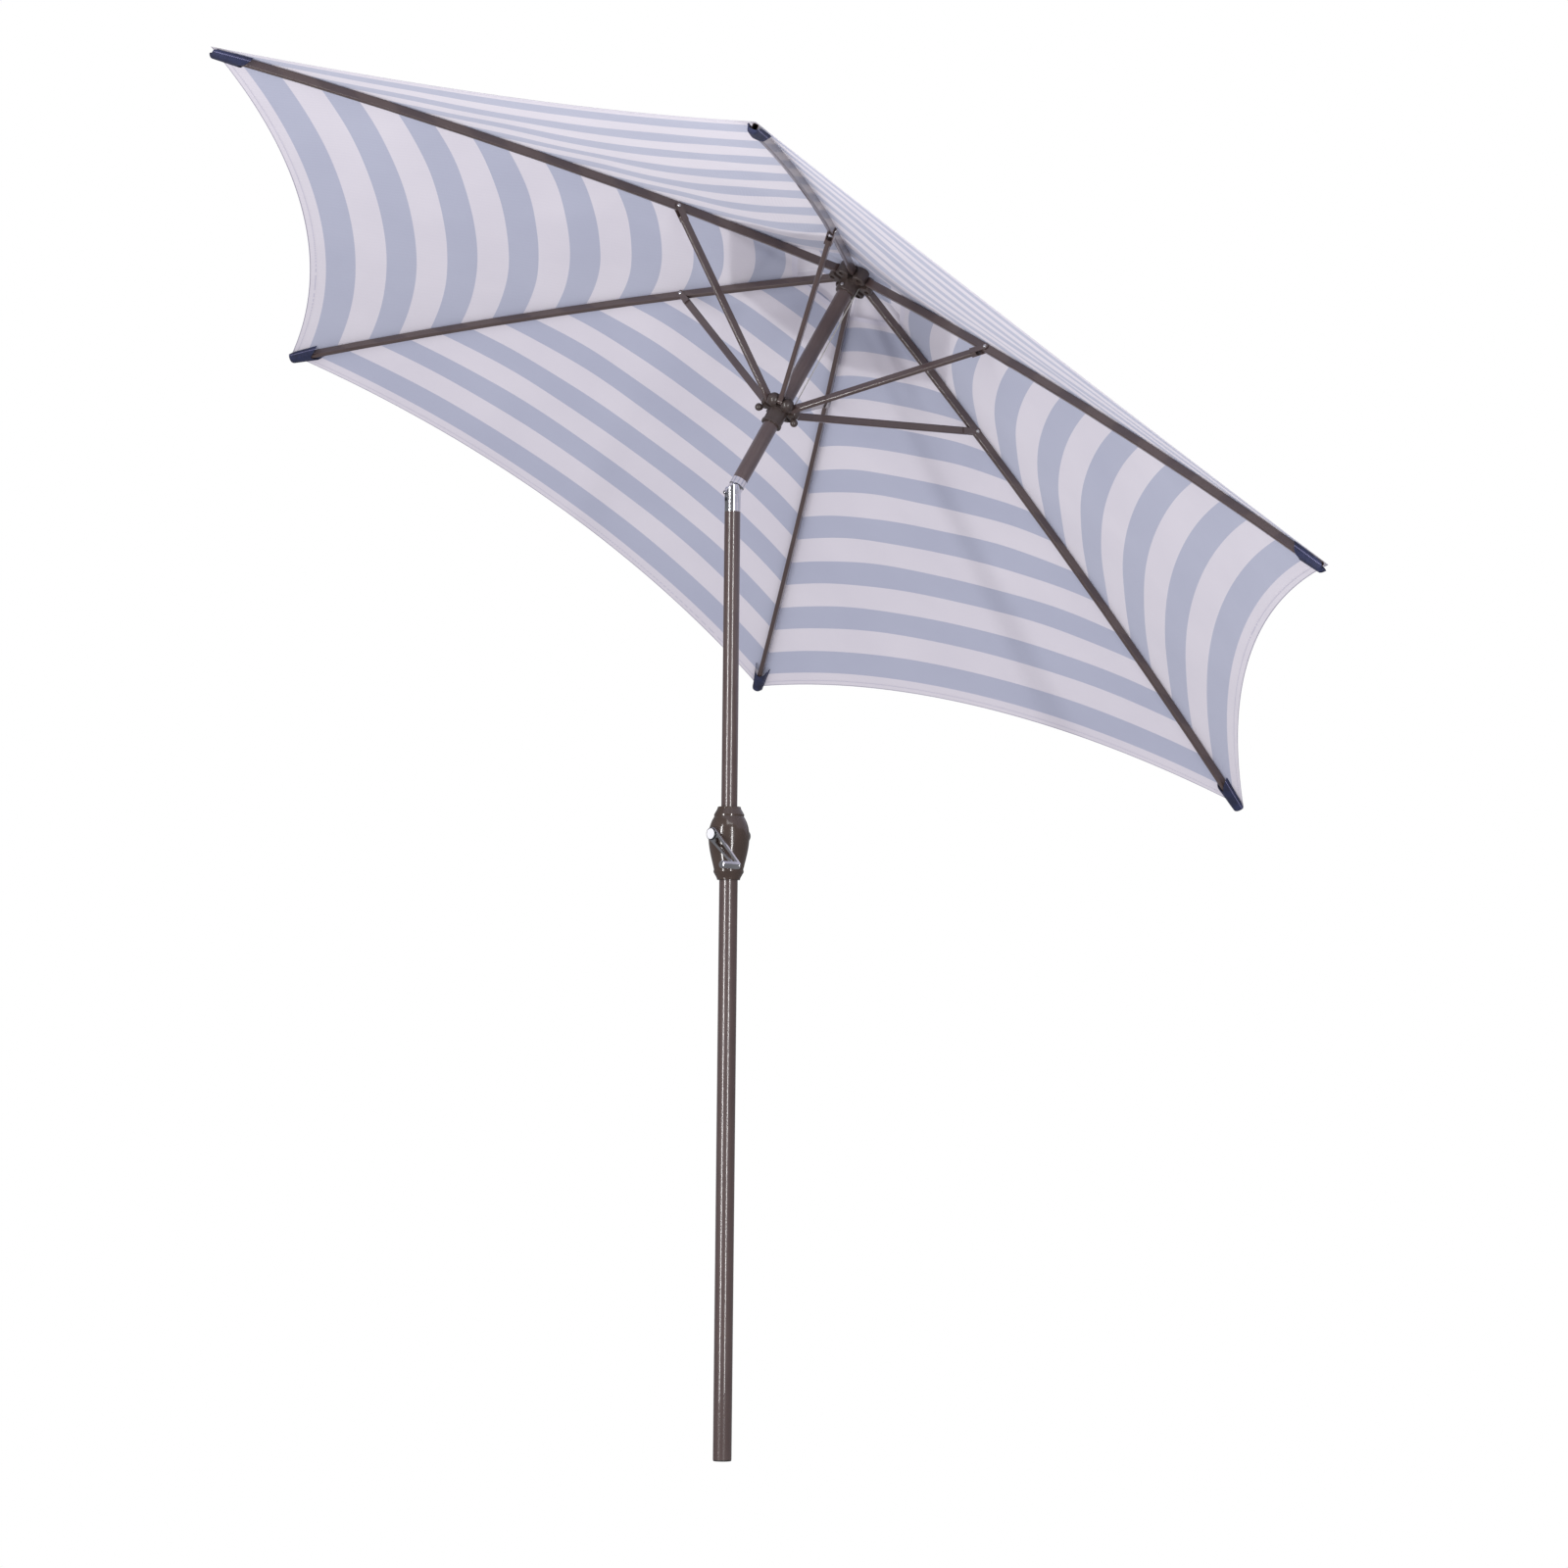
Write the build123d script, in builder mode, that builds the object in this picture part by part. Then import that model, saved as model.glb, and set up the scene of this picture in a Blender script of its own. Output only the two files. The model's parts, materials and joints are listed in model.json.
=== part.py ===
"""Beach umbrella: crank housing on a two-part mast, push-button tilt joint, six-rib canopy with vent.

Millimetres, +Z up the mast, origin at the centre of the mast's foot, +X the way the canopy leans.
Everything above the tilt joint is drawn in LEAN, the frame of the leaning pole.
"""
from build123d import *
from math import atan2, cos, degrees, hypot, radians, sin, sqrt
import os

os.makedirs("parts", exist_ok=True)

# ---------------------------------------------------------------- driving dimensions
LOWER_POLE_R = 19.0          # 38 mm pole, the size a table or sand base takes
UPPER_POLE_R = 16.5          # 33 mm upper mast and canopy pole
TUBE_WALL = 1.5
LOWER_POLE_TOP = 1204.0
NECK_R = 18.2                # the lower pole's drawn-in top end, inside the housing
MAST_TUBE_BOTTOM = 1303.0
PIVOT_Z = 1981.0             # height of the tilt pivot
LEAN_ANGLE = 30.0            # lean from upright when the tilt is locked

HUB_PIN_R = 32.0             # rib pins, out from the pole axis
HUB_PIN_H = 552.8            # rib pins, above the tilt pivot
RUNNER_PIN_R = 32.0
RUNNER_PIN_H = 218.0
JOINT_R = 409.8              # rivet between rib and strut
JOINT_H = 442.5
TIP_R = 1376.4               # outer end of a rib
TIP_H = 103.2
RIB_COUNT = 6

RIB_WIDE = 11.0
RIB_DEEP = 18.0
STRUT_WIDE = 10.0
STRUT_DEEP = 16.0
RIB_WALL = 1.0

FIT = 0.05                   # radial clearance of a pin in its hole
LOOSE = 0.3                  # gap between parts that only pass each other
SLIDE = 0.4                  # radial clearance of the runner on the pole
SIDE_PLAY = 0.4              # gap on each side of a rib or strut in its slot
OPEN_PIVOT = 2.2             # extra radius of a strut's inner eye round its runner pin

CLOTH = 1.0                  # thickness of canopy and vent
CLOTH_LIFT = 11.2            # cloth above the rib's middle line
CLOTH_GAP = 0.3              # half gap between two cloth halves
CANOPY_IN_R = 140.0          # inner hem, at the ribs
CANOPY_OUT_R = 1386.0        # corner of the cloth, at a rib
SCALLOP = 95.0               # how far the hem curves in between two corners
VENT_IN_R = 14.0
VENT_OUT_R = 300.0
VENT_TOP_H = 575.0
VENT_MID_R = 150.0
VENT_MID_H = 548.0
VENT_OUT_H = 492.0

HOUSING_BOTTOM = 1199.0
HOUSING_TOP = 1309.0
HOUSING_COLLAR = 20.0
HOUSING_WALL = 3.0
CRANK_Z = 1271.0
CRANK_AZIMUTH = 199.0        # where the crank's axle points, round the mast
CRANK_DROP = 42.7            # the arm's angle below level
CRANK_LENGTH = 100.0
CRANK_SHAFT_R = 5.0
CRANK_BOSS_R = 15.0
CRANK_FACE = 45.0            # outer face of the housing's boss, from the mast axis
SPOOL_R = 9.0
CORD_R = 1.2

TILT_PIN_R = 3.5
TILT_EAR_R = 16.0
TILT_SLOT = 6.2              # half width of the fork's slot
TILT_FLOOR = -17.5           # bottom of the fork's slot, from the pivot
FERRULE_DEEP = 40.0          # length of the ferrule below the pivot
TONGUE_TOP = 32.0            # where the brown pole starts above the pivot
BUTTON_R = 4.2

HUB_R = 50.0
HUB_BOTTOM = 536.0
HUB_TOP = 566.0
HUB_COLLAR_BOTTOM = 514.0
POLE_TOP = 542.0
CORD_AZIMUTH = 330.0         # side of the pole where the lift cord runs
PULLEY_R = 7.0
PULLEY_OUT = 13.0            # pulley centre, out from the pole axis
PULLEY_H = 554.0

# ---------------------------------------------------------------- frames and curves
LEAN = Plane(
    origin=(0, 0, PIVOT_Z),
    x_dir=(cos(radians(LEAN_ANGLE)), 0, -sin(radians(LEAN_ANGLE))),
    z_dir=(sin(radians(LEAN_ANGLE)), 0, cos(radians(LEAN_ANGLE))),
)
LEAN_AXIS = Axis(LEAN.origin, LEAN.z_dir)
STEP = 360.0 / RIB_COUNT
HALF = STEP / 2
RIB_NAMES = "abcdef"


def across(height, azimuth=0.0):
    """Plane square to the leaning pole, its x axis turned to the azimuth."""
    out = LEAN.x_dir * cos(radians(azimuth)) + LEAN.y_dir * sin(radians(azimuth))
    return Plane(origin=LEAN.origin + LEAN.z_dir * height, x_dir=out, z_dir=LEAN.z_dir)


def radial(azimuth):
    """Plane that holds the leaning pole's axis: x runs outwards, y runs up the pole."""
    level = across(0, azimuth)
    return Plane(origin=level.origin, x_dir=level.x_dir, z_dir=-level.y_dir)


def radial_at(azimuth, radius, height, climb=0.0):
    """The radial plane moved to one of its points, its x axis turned upwards by the climb."""
    base = radial(azimuth)
    along = base.x_dir * cos(radians(climb)) + base.y_dir * sin(radians(climb))
    return Plane(origin=base.from_local_coords((radius, height, 0)), x_dir=along, z_dir=base.z_dir)


def save(builder, name):
    """Label a finished piece and write it."""
    builder.part.label = name
    export_step(builder.part, f"parts/{name}.step")


def rib_height(radius):
    """Height of a rib's middle line, a parabola through its hub pin, its rivet and its tip."""
    first = (JOINT_H - HUB_PIN_H) / (JOINT_R - HUB_PIN_R)
    second = (TIP_H - JOINT_H) / (TIP_R - JOINT_R)
    bend = (second - first) / (TIP_R - HUB_PIN_R)
    return HUB_PIN_H + first * (radius - HUB_PIN_R) + bend * (radius - HUB_PIN_R) * (radius - JOINT_R)


def rib_slope(radius):
    """Slope of a rib at a radius, in degrees, negative downwards."""
    return degrees(atan2(rib_height(radius + 1) - rib_height(radius - 1), 2))


# ---------------------------------------------------------------- mast, below the tilt
FOOT_FLANGE = 3.0

with BuildPart() as foot_plug:
    with BuildSketch(Plane.XY):
        Circle(LOWER_POLE_R - 0.4)
    extrude(amount=FOOT_FLANGE)
    with BuildSketch(Plane.XY.offset(FOOT_FLANGE)):
        Circle(LOWER_POLE_R - TUBE_WALL - FIT)
        Circle(LOWER_POLE_R - 2 * TUBE_WALL - 2, mode=Mode.SUBTRACT)
    extrude(amount=30)
    chamfer(foot_plug.faces().sort_by(Axis.Z)[0].edges(), 1)
save(foot_plug, "foot_plug")

SHOULDER_Z = HOUSING_BOTTOM - HOUSING_COLLAR - LOOSE
with BuildPart() as lower_pole:
    with BuildSketch(Plane.XY.offset(FOOT_FLANGE)):
        Circle(LOWER_POLE_R)
        Circle(LOWER_POLE_R - TUBE_WALL, mode=Mode.SUBTRACT)
    extrude(amount=SHOULDER_Z - FOOT_FLANGE)
    with BuildSketch(Plane.XY.offset(SHOULDER_Z - TUBE_WALL)):
        Circle(NECK_R)
        Circle(NECK_R - TUBE_WALL, mode=Mode.SUBTRACT)
    extrude(amount=LOWER_POLE_TOP - SHOULDER_Z + TUBE_WALL)
save(lower_pole, "lower_pole")

with BuildPart() as mast_tube:
    with BuildSketch(Plane.XY.offset(MAST_TUBE_BOTTOM)):
        Circle(UPPER_POLE_R)
        Circle(UPPER_POLE_R - TUBE_WALL, mode=Mode.SUBTRACT)
    extrude(amount=PIVOT_Z - FERRULE_DEEP - MAST_TUBE_BOTTOM)
save(mast_tube, "mast_tube")

# crank housing: a turned vase in two halves, with a collar at each end
CRANK_AXLE = (cos(radians(CRANK_AZIMUTH)), sin(radians(CRANK_AZIMUTH)), 0)
CRANK_SIDE = (-CRANK_AXLE[1], CRANK_AXLE[0], 0)
AXLE_PLANE = Plane(origin=(0, 0, CRANK_Z), x_dir=CRANK_SIDE, z_dir=CRANK_AXLE)
HOUSING_SHAPE = [(30.0, HOUSING_BOTTOM), (37.3, 1230.0), (42.0, 1265.0), (38.5, 1292.0), (30.5, HOUSING_TOP)]
SOCKET_DEEP = 14.0
SPLIT_GAP = 0.1
HOUSING_SCREW_R = 1.6
HOUSING_SCREW_HEAD_R = 3.1
HOUSING_SCREW_SEAT = 10.0
SCREW_SPOTS = [
    (side * 26.0, z - CRANK_Z) for side in (-1, 1) for z in (HOUSING_BOTTOM + 7, HOUSING_TOP - 7)
]


def housing_half(side):
    """Half of the crank housing: shell, pole sockets, axle boss and screw posts."""
    with BuildPart() as half:
        with BuildSketch(Plane.XZ):
            with BuildLine():
                wall = Spline(*HOUSING_SHAPE)
                Line(wall @ 1, (0, HOUSING_TOP))
                Line((0, HOUSING_TOP), (0, HOUSING_BOTTOM))
                Line((0, HOUSING_BOTTOM), wall @ 0)
            make_face()
        revolve(axis=Axis.Z)
        with BuildSketch(AXLE_PLANE):
            Circle(CRANK_BOSS_R)
        extrude(amount=CRANK_FACE, both=True)
        with BuildSketch(Plane.XZ):
            with BuildLine():
                inner = Spline(*[(r - HOUSING_WALL, z) for r, z in HOUSING_SHAPE])
                Line(inner @ 1, (0, HOUSING_TOP))
                Line((0, HOUSING_TOP), (0, HOUSING_BOTTOM))
                Line((0, HOUSING_BOTTOM), inner @ 0)
            make_face()
            with Locations((0, HOUSING_BOTTOM), (0, HOUSING_TOP)):
                Rectangle(120, 2 * SOCKET_DEEP, mode=Mode.SUBTRACT)
        revolve(axis=Axis.Z, mode=Mode.SUBTRACT)
        with BuildSketch(Plane.XY.offset(HOUSING_BOTTOM)):
            Circle(NECK_R + FIT)
        extrude(amount=SOCKET_DEEP, mode=Mode.SUBTRACT)
        with BuildSketch(Plane.XY.offset(HOUSING_TOP)):
            Circle(UPPER_POLE_R + FIT)
        extrude(amount=-SOCKET_DEEP, mode=Mode.SUBTRACT)
        with BuildSketch(AXLE_PLANE):
            Circle(CRANK_SHAFT_R + FIT)
        extrude(amount=2 * CRANK_FACE, both=True, mode=Mode.SUBTRACT)
        with BuildSketch(AXLE_PLANE.offset(-HOUSING_SCREW_SEAT)):
            with Locations(*SCREW_SPOTS):
                Circle(HOUSING_SCREW_R + FIT)
        extrude(amount=2 * HOUSING_SCREW_SEAT + 1, mode=Mode.SUBTRACT)
        with BuildSketch(AXLE_PLANE.offset(-HOUSING_SCREW_SEAT)):
            with Locations(*SCREW_SPOTS):
                Circle(HOUSING_SCREW_HEAD_R + FIT)
        extrude(amount=-30, mode=Mode.SUBTRACT)
        with BuildSketch(AXLE_PLANE.offset(side * SPLIT_GAP / 2)):
            Rectangle(300, 300)
        extrude(amount=side * 100, mode=Mode.INTERSECT)
    return half


for side, name in ((1, "housing_front"), (-1, "housing_back")):
    housing = housing_half(side)
    save(housing, name)

for name, flat, rim, bore in (
    ("housing_collar_bottom", HOUSING_BOTTOM - HOUSING_COLLAR, HOUSING_BOTTOM, NECK_R),
    ("housing_collar_top", HOUSING_TOP + HOUSING_COLLAR, HOUSING_TOP, UPPER_POLE_R),
):
    lip = (flat - rim) * 0.2
    with BuildPart() as housing_collar:
        with BuildSketch(Plane.XZ):
            with BuildLine():
                Polyline(
                    (bore + FIT, rim),
                    (30.6, rim),
                    (31.2, rim + lip),
                    (24.5, flat - lip),
                    (23.5, flat),
                    (bore + FIT, flat),
                    close=True,
                )
            make_face()
        revolve(axis=Axis.Z)
    save(housing_collar, name)

with BuildPart() as housing_screws:
    for x, y in SCREW_SPOTS:
        with BuildSketch(AXLE_PLANE.offset(-HOUSING_SCREW_SEAT)):
            with Locations((x, y)):
                Circle(HOUSING_SCREW_R)
        extrude(amount=2 * HOUSING_SCREW_SEAT)
        with BuildSketch(AXLE_PLANE.offset(-HOUSING_SCREW_SEAT)):
            with Locations((x, y)):
                Circle(HOUSING_SCREW_HEAD_R)
        extrude(amount=-2.4)
save(housing_screws, "housing_screws")

# ---------------------------------------------------------------- crank
ARM_THICK = 5.0
ARM_BACK = CRANK_FACE + 0.5
CAP_R = 13.4
CAP_THICK = 2.6
GRIP_R = 8.0
GRIP_LENGTH = 44.0
GRIP_PIN_R = 3.0
drop = radians(CRANK_DROP)
ARM_WAY = tuple(cos(drop) * c for c in CRANK_SIDE[:2]) + (-sin(drop),)
ARM_PLANE = Plane(origin=(0, 0, CRANK_Z), x_dir=ARM_WAY, z_dir=CRANK_AXLE)

with BuildPart() as crank_spool:
    with BuildSketch(AXLE_PLANE.offset(-ARM_BACK)):
        Circle(CRANK_SHAFT_R)
    extrude(amount=2 * ARM_BACK + ARM_THICK)
    with BuildSketch(AXLE_PLANE):
        Circle(SPOOL_R)
    extrude(amount=11, both=True)
    for offset in (-13, 11):
        with BuildSketch(AXLE_PLANE.offset(offset)):
            Circle(SPOOL_R + 8)
        extrude(amount=2)
save(crank_spool, "crank_spool")

with BuildPart() as crank_arm:
    with BuildSketch(ARM_PLANE.offset(ARM_BACK)):
        Circle(CAP_R)
        with Locations((CRANK_LENGTH, 0)):
            Circle(GRIP_R - 0.5)
        make_hull()
    extrude(amount=ARM_THICK)
    fillet(crank_arm.faces().sort_by(SortBy.AREA)[-1].edges(), 1.2)
    with BuildSketch(ARM_PLANE.offset(ARM_BACK)):
        with Locations((CAP_R + 8, 0)):
            Circle(6.2)
        with Locations((CRANK_LENGTH - 15, 0)):
            Circle(3.6)
        make_hull()
    extrude(amount=ARM_THICK, mode=Mode.SUBTRACT)
    with BuildSketch(ARM_PLANE.offset(ARM_BACK)):
        Circle(CRANK_SHAFT_R + 0.02)
    extrude(amount=ARM_THICK, mode=Mode.SUBTRACT)
    with BuildSketch(ARM_PLANE.offset(ARM_BACK + ARM_THICK)):
        with Locations((CRANK_LENGTH, 0)):
            Circle(GRIP_PIN_R)
    extrude(amount=GRIP_LENGTH - 4)
save(crank_arm, "crank_arm")

with BuildPart() as crank_caps:
    with BuildSketch(AXLE_PLANE.offset(ARM_BACK + ARM_THICK)):
        Circle(CAP_R - 0.6)
    extrude(amount=CAP_THICK)
    with BuildSketch(AXLE_PLANE.offset(-ARM_BACK)):
        Circle(CAP_R)
    extrude(amount=-CAP_THICK - 2)
    ends = crank_caps.faces().filter_by(lambda f: abs(f.normal_at().Z) < 0.1).filter_by(GeomType.PLANE)
    along = Axis((0, 0, CRANK_Z), CRANK_AXLE)
    fillet(ends.sort_by(along)[0].edges(), 1.2)
    fillet(crank_caps.faces().filter_by(GeomType.PLANE).sort_by(along)[-1].edges(), 0.8)
save(crank_caps, "crank_caps")

with BuildPart() as crank_badge:
    with BuildSketch(AXLE_PLANE.offset(ARM_BACK + ARM_THICK + CAP_THICK)):
        Circle(CAP_R - 2.6)
    extrude(amount=0.5)
save(crank_badge, "crank_badge")

with BuildPart() as crank_grip:
    with BuildSketch(ARM_PLANE.offset(ARM_BACK + ARM_THICK + LOOSE)):
        with Locations((CRANK_LENGTH, 0)):
            Circle(GRIP_R)
    extrude(amount=GRIP_LENGTH)
    along = Axis((0, 0, CRANK_Z), CRANK_AXLE)
    fillet(crank_grip.faces().sort_by(along)[-1].edges(), 3)
    fillet(crank_grip.faces().sort_by(along)[0].edges(), 1)
    with BuildSketch(ARM_PLANE.offset(ARM_BACK + ARM_THICK + LOOSE)):
        with Locations((CRANK_LENGTH, 0)):
            Circle(GRIP_PIN_R + FIT)
    extrude(amount=GRIP_LENGTH - 3, mode=Mode.SUBTRACT)
save(crank_grip, "crank_grip")

# ---------------------------------------------------------------- tilt joint
SPIGOT_R = UPPER_POLE_R - TUBE_WALL - FIT
SPIGOT_LONG = 25.0
CORD_HOLE_R = CORD_R + 1.0
CORD_TILT_X = 8.0

with BuildPart() as tilt_ferrule:
    with BuildSketch(Plane.XY.offset(PIVOT_Z - FERRULE_DEEP - SPIGOT_LONG)):
        Circle(SPIGOT_R)
    extrude(amount=SPIGOT_LONG)
    with BuildSketch(Plane.XY.offset(PIVOT_Z - FERRULE_DEEP)):
        Circle(UPPER_POLE_R)
    extrude(amount=FERRULE_DEEP + TILT_EAR_R)
    with BuildSketch(Plane.XZ.offset(-60)):
        with Locations((0, PIVOT_Z)):
            Circle(TILT_EAR_R)
        with Locations((0, PIVOT_Z - 100)):
            Rectangle(2 * UPPER_POLE_R + 2, 200)
    extrude(amount=120, mode=Mode.INTERSECT)
    with BuildSketch(Plane.XZ):
        with Locations((0, PIVOT_Z + TILT_FLOOR + 50)):
            Rectangle(80, 100)
    extrude(amount=TILT_SLOT, both=True, mode=Mode.SUBTRACT)
    with BuildSketch(Plane.XZ):
        with Locations((0, PIVOT_Z)):
            Circle(TILT_PIN_R + FIT)
    extrude(amount=40, both=True, mode=Mode.SUBTRACT)
    with BuildSketch(Plane.XY.offset(PIVOT_Z - FERRULE_DEEP - SPIGOT_LONG)):
        with Locations((CORD_TILT_X, 0)):
            Circle(CORD_HOLE_R)
    extrude(amount=SPIGOT_LONG + FERRULE_DEEP, mode=Mode.SUBTRACT)
save(tilt_ferrule, "tilt_ferrule")

PIN_HEAD_R = 5.2
with BuildPart() as tilt_pin:
    with BuildSketch(Plane.XZ):
        with Locations((0, PIVOT_Z)):
            Circle(TILT_PIN_R)
    extrude(amount=UPPER_POLE_R + 0.3, both=True)
    for side in (-1, 1):
        with BuildSketch(Plane.XZ.offset(side * (UPPER_POLE_R + 0.3))):
            with Locations((0, PIVOT_Z)):
                Circle(PIN_HEAD_R)
        extrude(amount=side * 1.6)
save(tilt_pin, "tilt_pin")

TONGUE_WIDE = TILT_SLOT - SIDE_PLAY
TONGUE_FOOT = TILT_EAR_R + 1.2
BUTTON_SEAT = 6.5
BUTTON_OUT = 20.5
BUTTON_PLANE = Plane(origin=(0, 0, PIVOT_Z), x_dir=(0, 1, 0), z_dir=(-1, 0, 0))

with BuildPart() as tilt_tongue:
    with BuildSketch(radial(0)):
        Circle(TILT_EAR_R - 0.3)
        with Locations((0, TONGUE_FOOT / 2 + 2)):
            Rectangle(2 * TILT_EAR_R - 3, TONGUE_FOOT + 4)
    extrude(amount=TONGUE_WIDE, both=True)
    with BuildSketch(across(TONGUE_FOOT)):
        Circle(UPPER_POLE_R)
    extrude(amount=TONGUE_TOP - TONGUE_FOOT)
    with BuildSketch(across(TONGUE_TOP)):
        Circle(SPIGOT_R)
    extrude(amount=SPIGOT_LONG)
    with BuildSketch(radial(0)):
        Circle(TILT_PIN_R + FIT)
    extrude(amount=40, both=True, mode=Mode.SUBTRACT)
    with BuildSketch(across(-TILT_EAR_R)):
        with Locations((CORD_TILT_X, 0)):
            Circle(CORD_HOLE_R)
    extrude(amount=TILT_EAR_R + TONGUE_TOP + SPIGOT_LONG, mode=Mode.SUBTRACT)
    with BuildSketch(BUTTON_PLANE.offset(BUTTON_SEAT)):
        Circle(BUTTON_R + FIT)
    extrude(amount=40, mode=Mode.SUBTRACT)
save(tilt_tongue, "tilt_tongue")

with BuildPart() as tilt_button:
    with BuildSketch(BUTTON_PLANE.offset(BUTTON_OUT)):
        Circle(BUTTON_R)
    extrude(amount=BUTTON_SEAT + 3.8 - BUTTON_OUT)
    fillet(tilt_button.faces().sort_by(Axis.X)[0].edges(), 1.5)
save(tilt_button, "tilt_button")

# ---------------------------------------------------------------- leaning pole and top hub
with BuildPart() as upper_pole:
    with BuildSketch(across(TONGUE_TOP)):
        Circle(UPPER_POLE_R)
        Circle(UPPER_POLE_R - TUBE_WALL, mode=Mode.SUBTRACT)
    extrude(amount=POLE_TOP - TONGUE_TOP)
save(upper_pole, "upper_pole")

HUB_COLLAR_R = 22.0
HUB_SLOT_IN = 22.5
HUB_SLOT_ROOF = 3.0
LOBE_R = 16.5
LOBE_OUT = 33.5
PULLEY_SLOT = 3.2
HUB_BOSS_R = 20.0
HUB_BOSS_TOP = VENT_TOP_H - 1.8
SCREW_AZIMUTH = 210.0
SCREW_SINK = 1.0
SCREW_HEAD_R = 3.6
SCREW_OUT = across(HUB_COLLAR_BOTTOM + 9, SCREW_AZIMUTH)
SCREW_PLANE = Plane(
    origin=SCREW_OUT.origin + SCREW_OUT.x_dir * HUB_COLLAR_R,
    x_dir=SCREW_OUT.y_dir,
    z_dir=SCREW_OUT.x_dir,
)

with BuildPart() as top_hub:
    with BuildSketch(across(HUB_BOTTOM)):
        Circle(34)
        with PolarLocations(LOBE_OUT, RIB_COUNT, start_angle=HALF):
            Circle(LOBE_R)
    extrude(amount=HUB_TOP - HUB_BOTTOM)
    fillet(top_hub.faces().sort_by(LEAN_AXIS)[-1].edges(), 4)
    fillet(top_hub.faces().sort_by(LEAN_AXIS)[0].edges(), 3)
    with BuildSketch(across(HUB_TOP)):
        Circle(HUB_BOSS_R)
    extrude(amount=HUB_BOSS_TOP - HUB_TOP)
    with BuildSketch(across(HUB_COLLAR_BOTTOM)):
        Circle(HUB_COLLAR_R)
    extrude(amount=HUB_BOTTOM - HUB_COLLAR_BOTTOM)
    fillet(top_hub.faces().sort_by(LEAN_AXIS)[0].edges(), 1.5)
    with BuildSketch(across(HUB_COLLAR_BOTTOM)):
        Circle(UPPER_POLE_R + FIT)
    extrude(amount=POLE_TOP - HUB_COLLAR_BOTTOM, mode=Mode.SUBTRACT)
    with BuildSketch(across(POLE_TOP)):
        Circle(UPPER_POLE_R - TUBE_WALL)
    extrude(amount=4, mode=Mode.SUBTRACT)
    # one slot for each rib, closed by a thin roof
    with BuildSketch(across(HUB_BOTTOM)):
        with PolarLocations((HUB_SLOT_IN + HUB_R + 10) / 2, RIB_COUNT):
            Rectangle(HUB_R + 10 - HUB_SLOT_IN, RIB_WIDE + 2 * SIDE_PLAY)
    extrude(amount=HUB_TOP - HUB_BOTTOM - HUB_SLOT_ROOF, mode=Mode.SUBTRACT)
    # rib pin holes
    for k in range(RIB_COUNT):
        with BuildSketch(radial_at(k * STEP, HUB_PIN_R, HUB_PIN_H)):
            Circle(2.5 + FIT)
        extrude(amount=14, both=True, mode=Mode.SUBTRACT)
    # moulding pockets in the lobes
    with BuildSketch(across(HUB_BOTTOM)):
        with PolarLocations(LOBE_OUT + 7, RIB_COUNT, start_angle=HALF):
            Circle(5.5)
    extrude(amount=16, mode=Mode.SUBTRACT)
    # slot for the lift cord's pulley, open below beside the pole
    with BuildSketch(radial(CORD_AZIMUTH)):
        with Locations((PULLEY_OUT, PULLEY_H)):
            Circle(PULLEY_R + 3.2)
        with Locations((PULLEY_OUT + PULLEY_R + CORD_R, (PULLEY_H + HUB_COLLAR_BOTTOM) / 2 - 2)):
            Rectangle(2 * CORD_HOLE_R, PULLEY_H - HUB_COLLAR_BOTTOM + 4)
        with Locations((PULLEY_OUT - PULLEY_R - CORD_R, PULLEY_H - 6)):
            Rectangle(2 * CORD_HOLE_R, 12)
    extrude(amount=PULLEY_SLOT, both=True, mode=Mode.SUBTRACT)
    with BuildSketch(radial_at(CORD_AZIMUTH, PULLEY_OUT, PULLEY_H)):
        Circle(1.5 + FIT)
    extrude(amount=7, both=True, mode=Mode.SUBTRACT)
    # hole for the screw that clamps the collar on the pole
    with BuildSketch(SCREW_PLANE):
        Circle(2.0 + FIT)
    extrude(amount=-8, mode=Mode.SUBTRACT)
    with BuildSketch(SCREW_PLANE.offset(-SCREW_SINK)):
        Circle(SCREW_HEAD_R + LOOSE)
    extrude(amount=5, mode=Mode.SUBTRACT)
save(top_hub, "top_hub")

with BuildPart() as hub_screw:
    with BuildSketch(SCREW_PLANE):
        Circle(2.0)
    extrude(amount=UPPER_POLE_R + LOOSE - HUB_COLLAR_R)
    with BuildSketch(SCREW_PLANE.offset(-SCREW_SINK)):
        Circle(SCREW_HEAD_R)
    extrude(amount=2.4)
    fillet(hub_screw.faces().sort_by(Axis(SCREW_PLANE.origin, SCREW_PLANE.z_dir))[-1].edges(), 0.9)
save(hub_screw, "hub_screw")

with BuildPart() as hub_pins:
    for k in range(RIB_COUNT):
        with BuildSketch(radial_at(k * STEP, HUB_PIN_R, HUB_PIN_H)):
            Circle(2.5)
        extrude(amount=13, both=True)
save(hub_pins, "hub_pins")

FINIAL_FOOT = VENT_TOP_H + 2.0
FINIAL_FLANGE = 4.0
FINIAL_BALL_R = 15.0
with BuildPart() as finial:
    with BuildSketch(across(FINIAL_FOOT)):
        Circle(24)
    extrude(amount=FINIAL_FLANGE)
    fillet(finial.faces().sort_by(LEAN_AXIS)[-1].edges(), 2.5)
    with BuildSketch(across(HUB_BOSS_TOP)):
        Circle(VENT_IN_R - 3)
    extrude(amount=FINIAL_FOOT - HUB_BOSS_TOP)
    with BuildSketch(across(FINIAL_FOOT + FINIAL_FLANGE)):
        Circle(14)
    extrude(amount=8, taper=24)
    with Locations(across(FINIAL_FOOT + 26)):
        Sphere(FINIAL_BALL_R)
save(finial, "finial")

with BuildPart() as pulley_pin:
    with BuildSketch(radial_at(CORD_AZIMUTH, PULLEY_OUT, PULLEY_H)):
        Circle(1.5)
    extrude(amount=6.5, both=True)
save(pulley_pin, "pulley_pin")

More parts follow.
